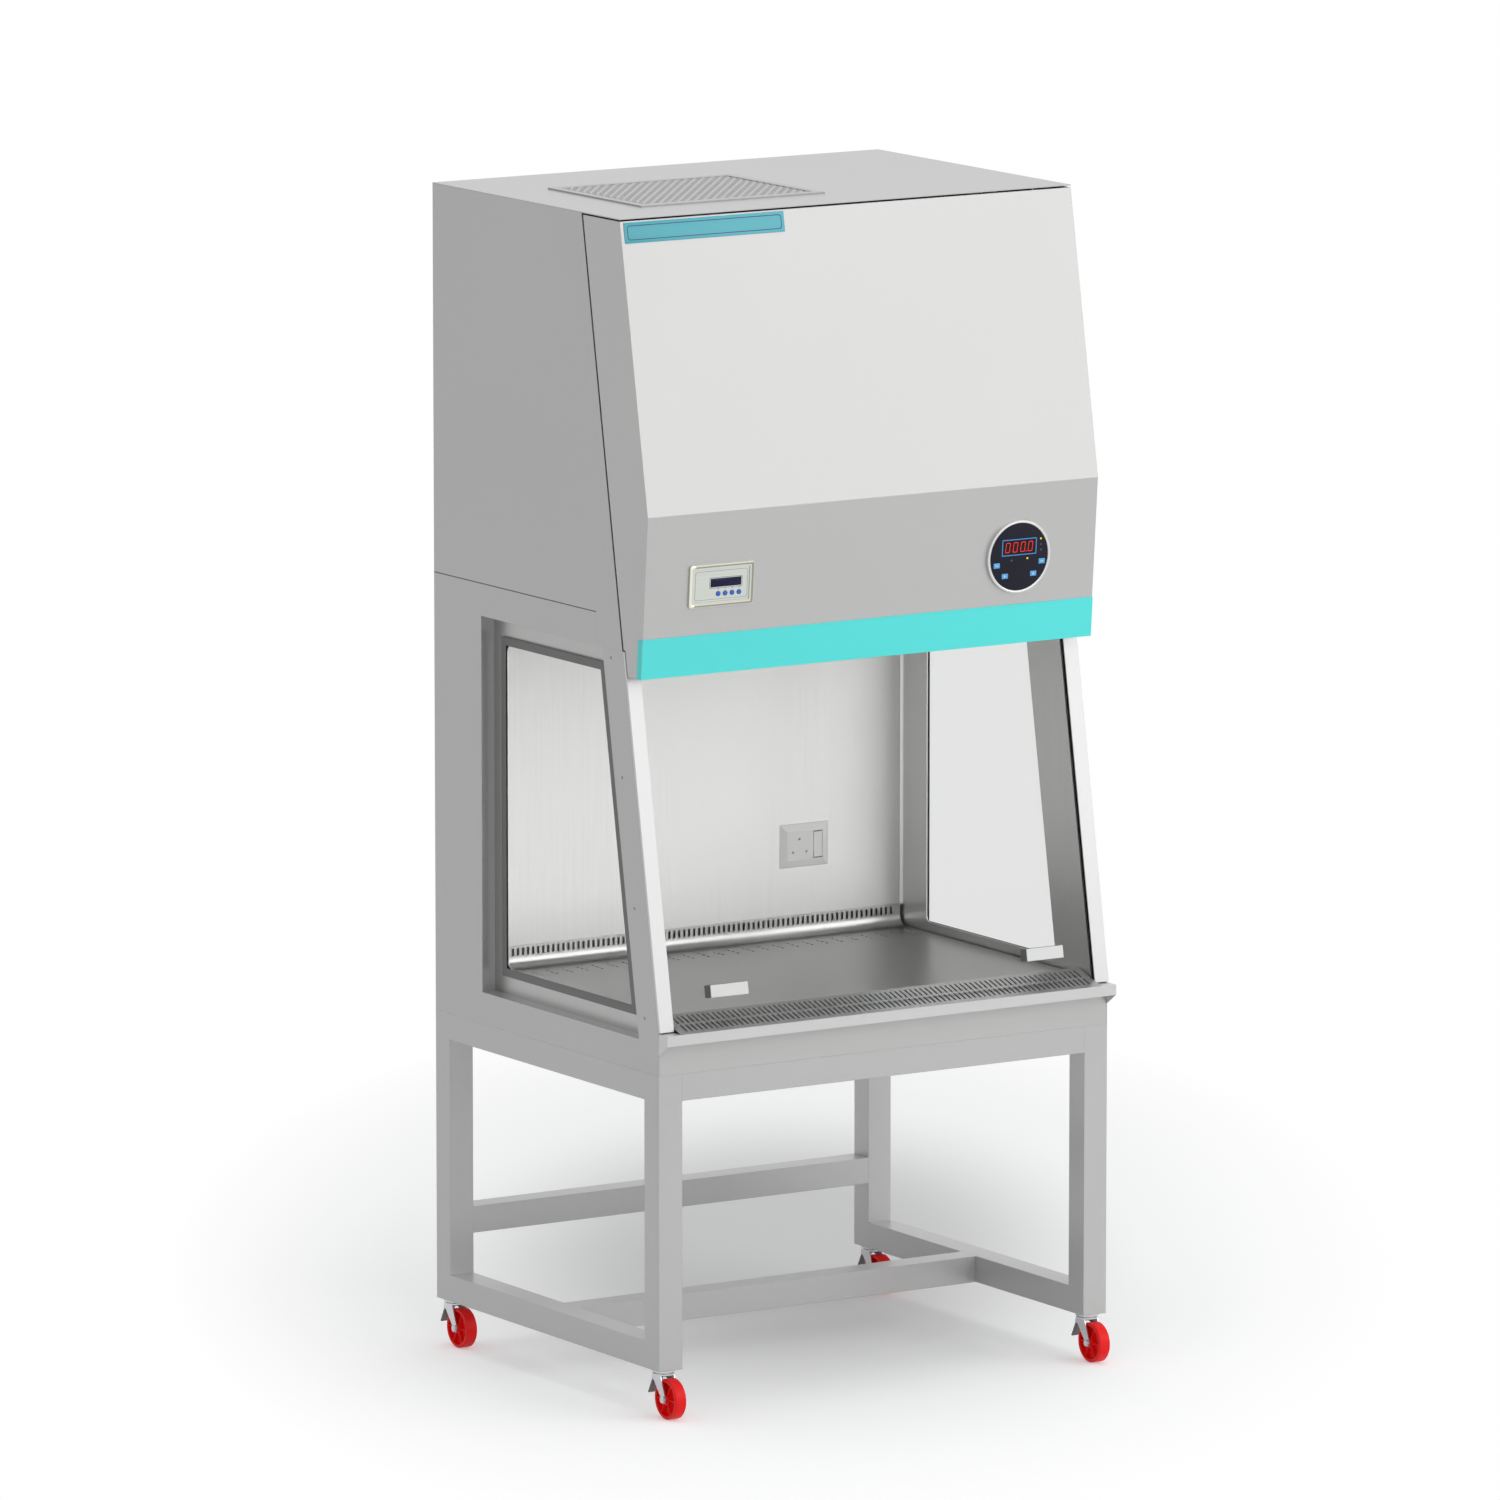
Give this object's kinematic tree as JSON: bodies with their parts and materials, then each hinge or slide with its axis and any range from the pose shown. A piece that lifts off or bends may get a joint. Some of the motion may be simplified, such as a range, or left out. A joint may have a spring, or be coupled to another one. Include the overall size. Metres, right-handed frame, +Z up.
{
  "type": "biosafety cabinet",
  "caption": "Floor-standing biosafety cabinet on a tubular stand with braked swivel casters, a counterbalanced sloping sash, a lift-up control hood and a ducted work chamber.",
  "frame": {"origin": "on the floor under the middle of the casing, 12 mm behind the middle of the bounding box, which the casters' reach shifts", "axes": "+X to the user's right, +Y towards the back of the cabinet, +Z up"},
  "size_m": [0.98, 0.8387, 2.197],
  "materials": {
    "white_enamel": "smooth satin enamel",
    "grey_enamel": "smooth satin enamel",
    "teal_enamel": "satin enamel",
    "stand_enamel": "powder coat",
    "stainless": "brushed",
    "clear_glass": "clear",
    "zinc_plate": "bright zinc",
    "wheel_red": "moulded nylon",
    "brake_black": "black enamel",
    "guide_black": "moulded",
    "aluminium_rail": "anodised",
    "bright_bezel": "polished",
    "handle_white": "gloss",
    "socket_white": "gloss",
    "button_blue": "gloss",
    "filter_media": "pleated pack in its frame",
    "fan_metal": "mill finish",
    "steel_bar": "mill finish",
    "lamp_tube": "opal"
  },
  "bodies": {
    "cabinet": {"left_stand_frame": "stand_enamel", "right_stand_frame": "stand_enamel", "stand_cross_tubes": "stand_enamel", "caster_plates": "zinc_plate", "left_side_panel": "grey_enamel", "right_side_panel": "grey_enamel", "base_shell": "white_enamel", "rear_panel": "grey_enamel", "armrest": "white_enamel", "front_grille": "stainless", "work_surface": "stainless", "drain_pan": "stainless", "left_inner_wall": "stainless", "right_inner_wall": "stainless", "side_windows": "clear_glass", "back_wall": "stainless", "left_window_post": "white_enamel", "right_window_post": "white_enamel", "sash_guides": "guide_black", "sash_cables": "zinc_plate", "shaft_bearings": "steel_bar", "upper_casing": "grey_enamel", "top_sheet": "white_enamel", "exhaust_grille": "white_enamel", "exhaust_filter": "filter_media", "supply_filter": "filter_media", "plenum_box": "fan_metal", "blower_housing": "fan_metal", "blower_motor": "steel_bar", "diffuser": "stainless", "lamp": "lamp_tube", "hood_hinge": "zinc_plate", "socket_plate": "socket_white"},
    "sash": {"sash_glass": "clear_glass", "sash_handles": "handle_white", "sash_rail": "aluminium_rail"},
    "counterweight": {"counterweight": "steel_bar"},
    "pulley_shaft": {"pulley_shaft": "steel_bar"},
    "hood": {"hood": "white_enamel", "hood_band": "teal_enamel", "control_panel": "bright_bezel", "pressure_gauge": "bright_bezel"},
    "impeller": {"impeller": "fan_metal"},
    "rocker_switch": {"rocker_switch": "socket_white"},
    "mode_button": {"mode_button": "button_blue"},
    "down_button": {"down_button": "button_blue"},
    "up_button": {"up_button": "button_blue"},
    "set_button": {"set_button": "button_blue"},
    "front_left_caster_fork": {"front_left_caster_fork": "zinc_plate"},
    "front_left_caster_wheel": {"front_left_caster_wheel": "wheel_red"},
    "front_left_caster_brake": {"front_left_caster_brake": "brake_black"},
    "front_right_caster_fork": {"front_right_caster_fork": "zinc_plate"},
    "front_right_caster_wheel": {"front_right_caster_wheel": "wheel_red"},
    "front_right_caster_brake": {"front_right_caster_brake": "brake_black"},
    "rear_left_caster_fork": {"rear_left_caster_fork": "zinc_plate"},
    "rear_left_caster_wheel": {"rear_left_caster_wheel": "wheel_red"},
    "rear_left_caster_brake": {"rear_left_caster_brake": "brake_black"},
    "rear_right_caster_fork": {"rear_right_caster_fork": "zinc_plate"},
    "rear_right_caster_wheel": {"rear_right_caster_wheel": "wheel_red"},
    "rear_right_caster_brake": {"rear_right_caster_brake": "brake_black"}
  },
  "joints": [
    {"name": "sash_slide", "type": "slide", "parent": "cabinet", "child": "sash", "axis": [0, 0.1736, 0.9848], "range_m": [0, 0.43]},
    {"name": "counterweight_slide", "type": "slide", "parent": "cabinet", "child": "counterweight", "axis": [0, 0.1736, 0.9848], "range_m": [-0.43, 0]},
    {"name": "pulley_turn", "type": "hinge", "parent": "cabinet", "child": "pulley_shaft", "pos_m": [0, -0.11048, 2.01392], "axis": [1, 0, 0], "range_deg": [-825, 0]},
    {"name": "hood_lift", "type": "hinge", "parent": "cabinet", "child": "hood", "pos_m": [0, -0.25844, 2.186], "axis": [-1, 0, 0], "range_deg": [0, 60]},
    {"name": "mode_press", "type": "slide", "parent": "hood", "child": "mode_button", "axis": [0, 0.9969, 0.0788], "range_m": [0, 0.001], "stiffness_N_per_m": 400, "springref_m": -0.001},
    {"name": "down_press", "type": "slide", "parent": "hood", "child": "down_button", "axis": [0, 0.9969, 0.0788], "range_m": [0, 0.001], "stiffness_N_per_m": 400, "springref_m": -0.001},
    {"name": "up_press", "type": "slide", "parent": "hood", "child": "up_button", "axis": [0, 0.9969, 0.0788], "range_m": [0, 0.001], "stiffness_N_per_m": 400, "springref_m": -0.001},
    {"name": "set_press", "type": "slide", "parent": "hood", "child": "set_button", "axis": [0, 0.9969, 0.0788], "range_m": [0, 0.001], "stiffness_N_per_m": 400, "springref_m": -0.001},
    {"name": "impeller_spin", "type": "hinge", "parent": "cabinet", "child": "impeller", "pos_m": [-0.06, 0.177, 1.836], "axis": [0, 1, 0], "continuous": true},
    {"name": "rocker_tilt", "type": "hinge", "parent": "cabinet", "child": "rocker_switch", "pos_m": [0.2675, 0.2595, 0.903], "axis": [-1, 0, 0], "range_deg": [0, 12]},
    {"name": "front_left_caster_swivel", "type": "hinge", "parent": "cabinet", "child": "front_left_caster_fork", "pos_m": [-0.465, -0.37, 0.08], "axis": [0, 0, 1], "continuous": true},
    {"name": "front_left_caster_roll", "type": "hinge", "parent": "front_left_caster_fork", "child": "front_left_caster_wheel", "pos_m": [-0.465, -0.394, 0.0375], "axis": [1, 0, 0], "continuous": true},
    {"name": "front_left_caster_brake", "type": "hinge", "parent": "front_left_caster_fork", "child": "front_left_caster_brake", "pos_m": [-0.465, -0.356, 0.0747], "axis": [-1, 0, 0], "range_deg": [0, 20]},
    {"name": "front_right_caster_swivel", "type": "hinge", "parent": "cabinet", "child": "front_right_caster_fork", "pos_m": [0.465, -0.37, 0.08], "axis": [0, 0, 1], "continuous": true},
    {"name": "front_right_caster_roll", "type": "hinge", "parent": "front_right_caster_fork", "child": "front_right_caster_wheel", "pos_m": [0.465, -0.394, 0.0375], "axis": [1, 0, 0], "continuous": true},
    {"name": "front_right_caster_brake", "type": "hinge", "parent": "front_right_caster_fork", "child": "front_right_caster_brake", "pos_m": [0.465, -0.356, 0.0747], "axis": [-1, 0, 0], "range_deg": [0, 20]},
    {"name": "rear_left_caster_swivel", "type": "hinge", "parent": "cabinet", "child": "rear_left_caster_fork", "pos_m": [-0.465, 0.37, 0.08], "axis": [0, 0, 1], "continuous": true},
    {"name": "rear_left_caster_roll", "type": "hinge", "parent": "rear_left_caster_fork", "child": "rear_left_caster_wheel", "pos_m": [-0.465, 0.346, 0.0375], "axis": [1, 0, 0], "continuous": true},
    {"name": "rear_left_caster_brake", "type": "hinge", "parent": "rear_left_caster_fork", "child": "rear_left_caster_brake", "pos_m": [-0.465, 0.384, 0.0747], "axis": [-1, 0, 0], "range_deg": [0, 20]},
    {"name": "rear_right_caster_swivel", "type": "hinge", "parent": "cabinet", "child": "rear_right_caster_fork", "pos_m": [0.465, 0.37, 0.08], "axis": [0, 0, 1], "continuous": true},
    {"name": "rear_right_caster_roll", "type": "hinge", "parent": "rear_right_caster_fork", "child": "rear_right_caster_wheel", "pos_m": [0.465, 0.346, 0.0375], "axis": [1, 0, 0], "continuous": true},
    {"name": "rear_right_caster_brake", "type": "hinge", "parent": "rear_right_caster_fork", "child": "rear_right_caster_brake", "pos_m": [0.465, 0.384, 0.0747], "axis": [-1, 0, 0], "range_deg": [0, 20]}
  ],
  "couplings": [
    {"joint": "counterweight_slide", "follows": "sash_slide", "ratio": -1},
    {"joint": "pulley_turn", "follows": "sash_slide", "rad_per_m": -33.333}
  ]
}
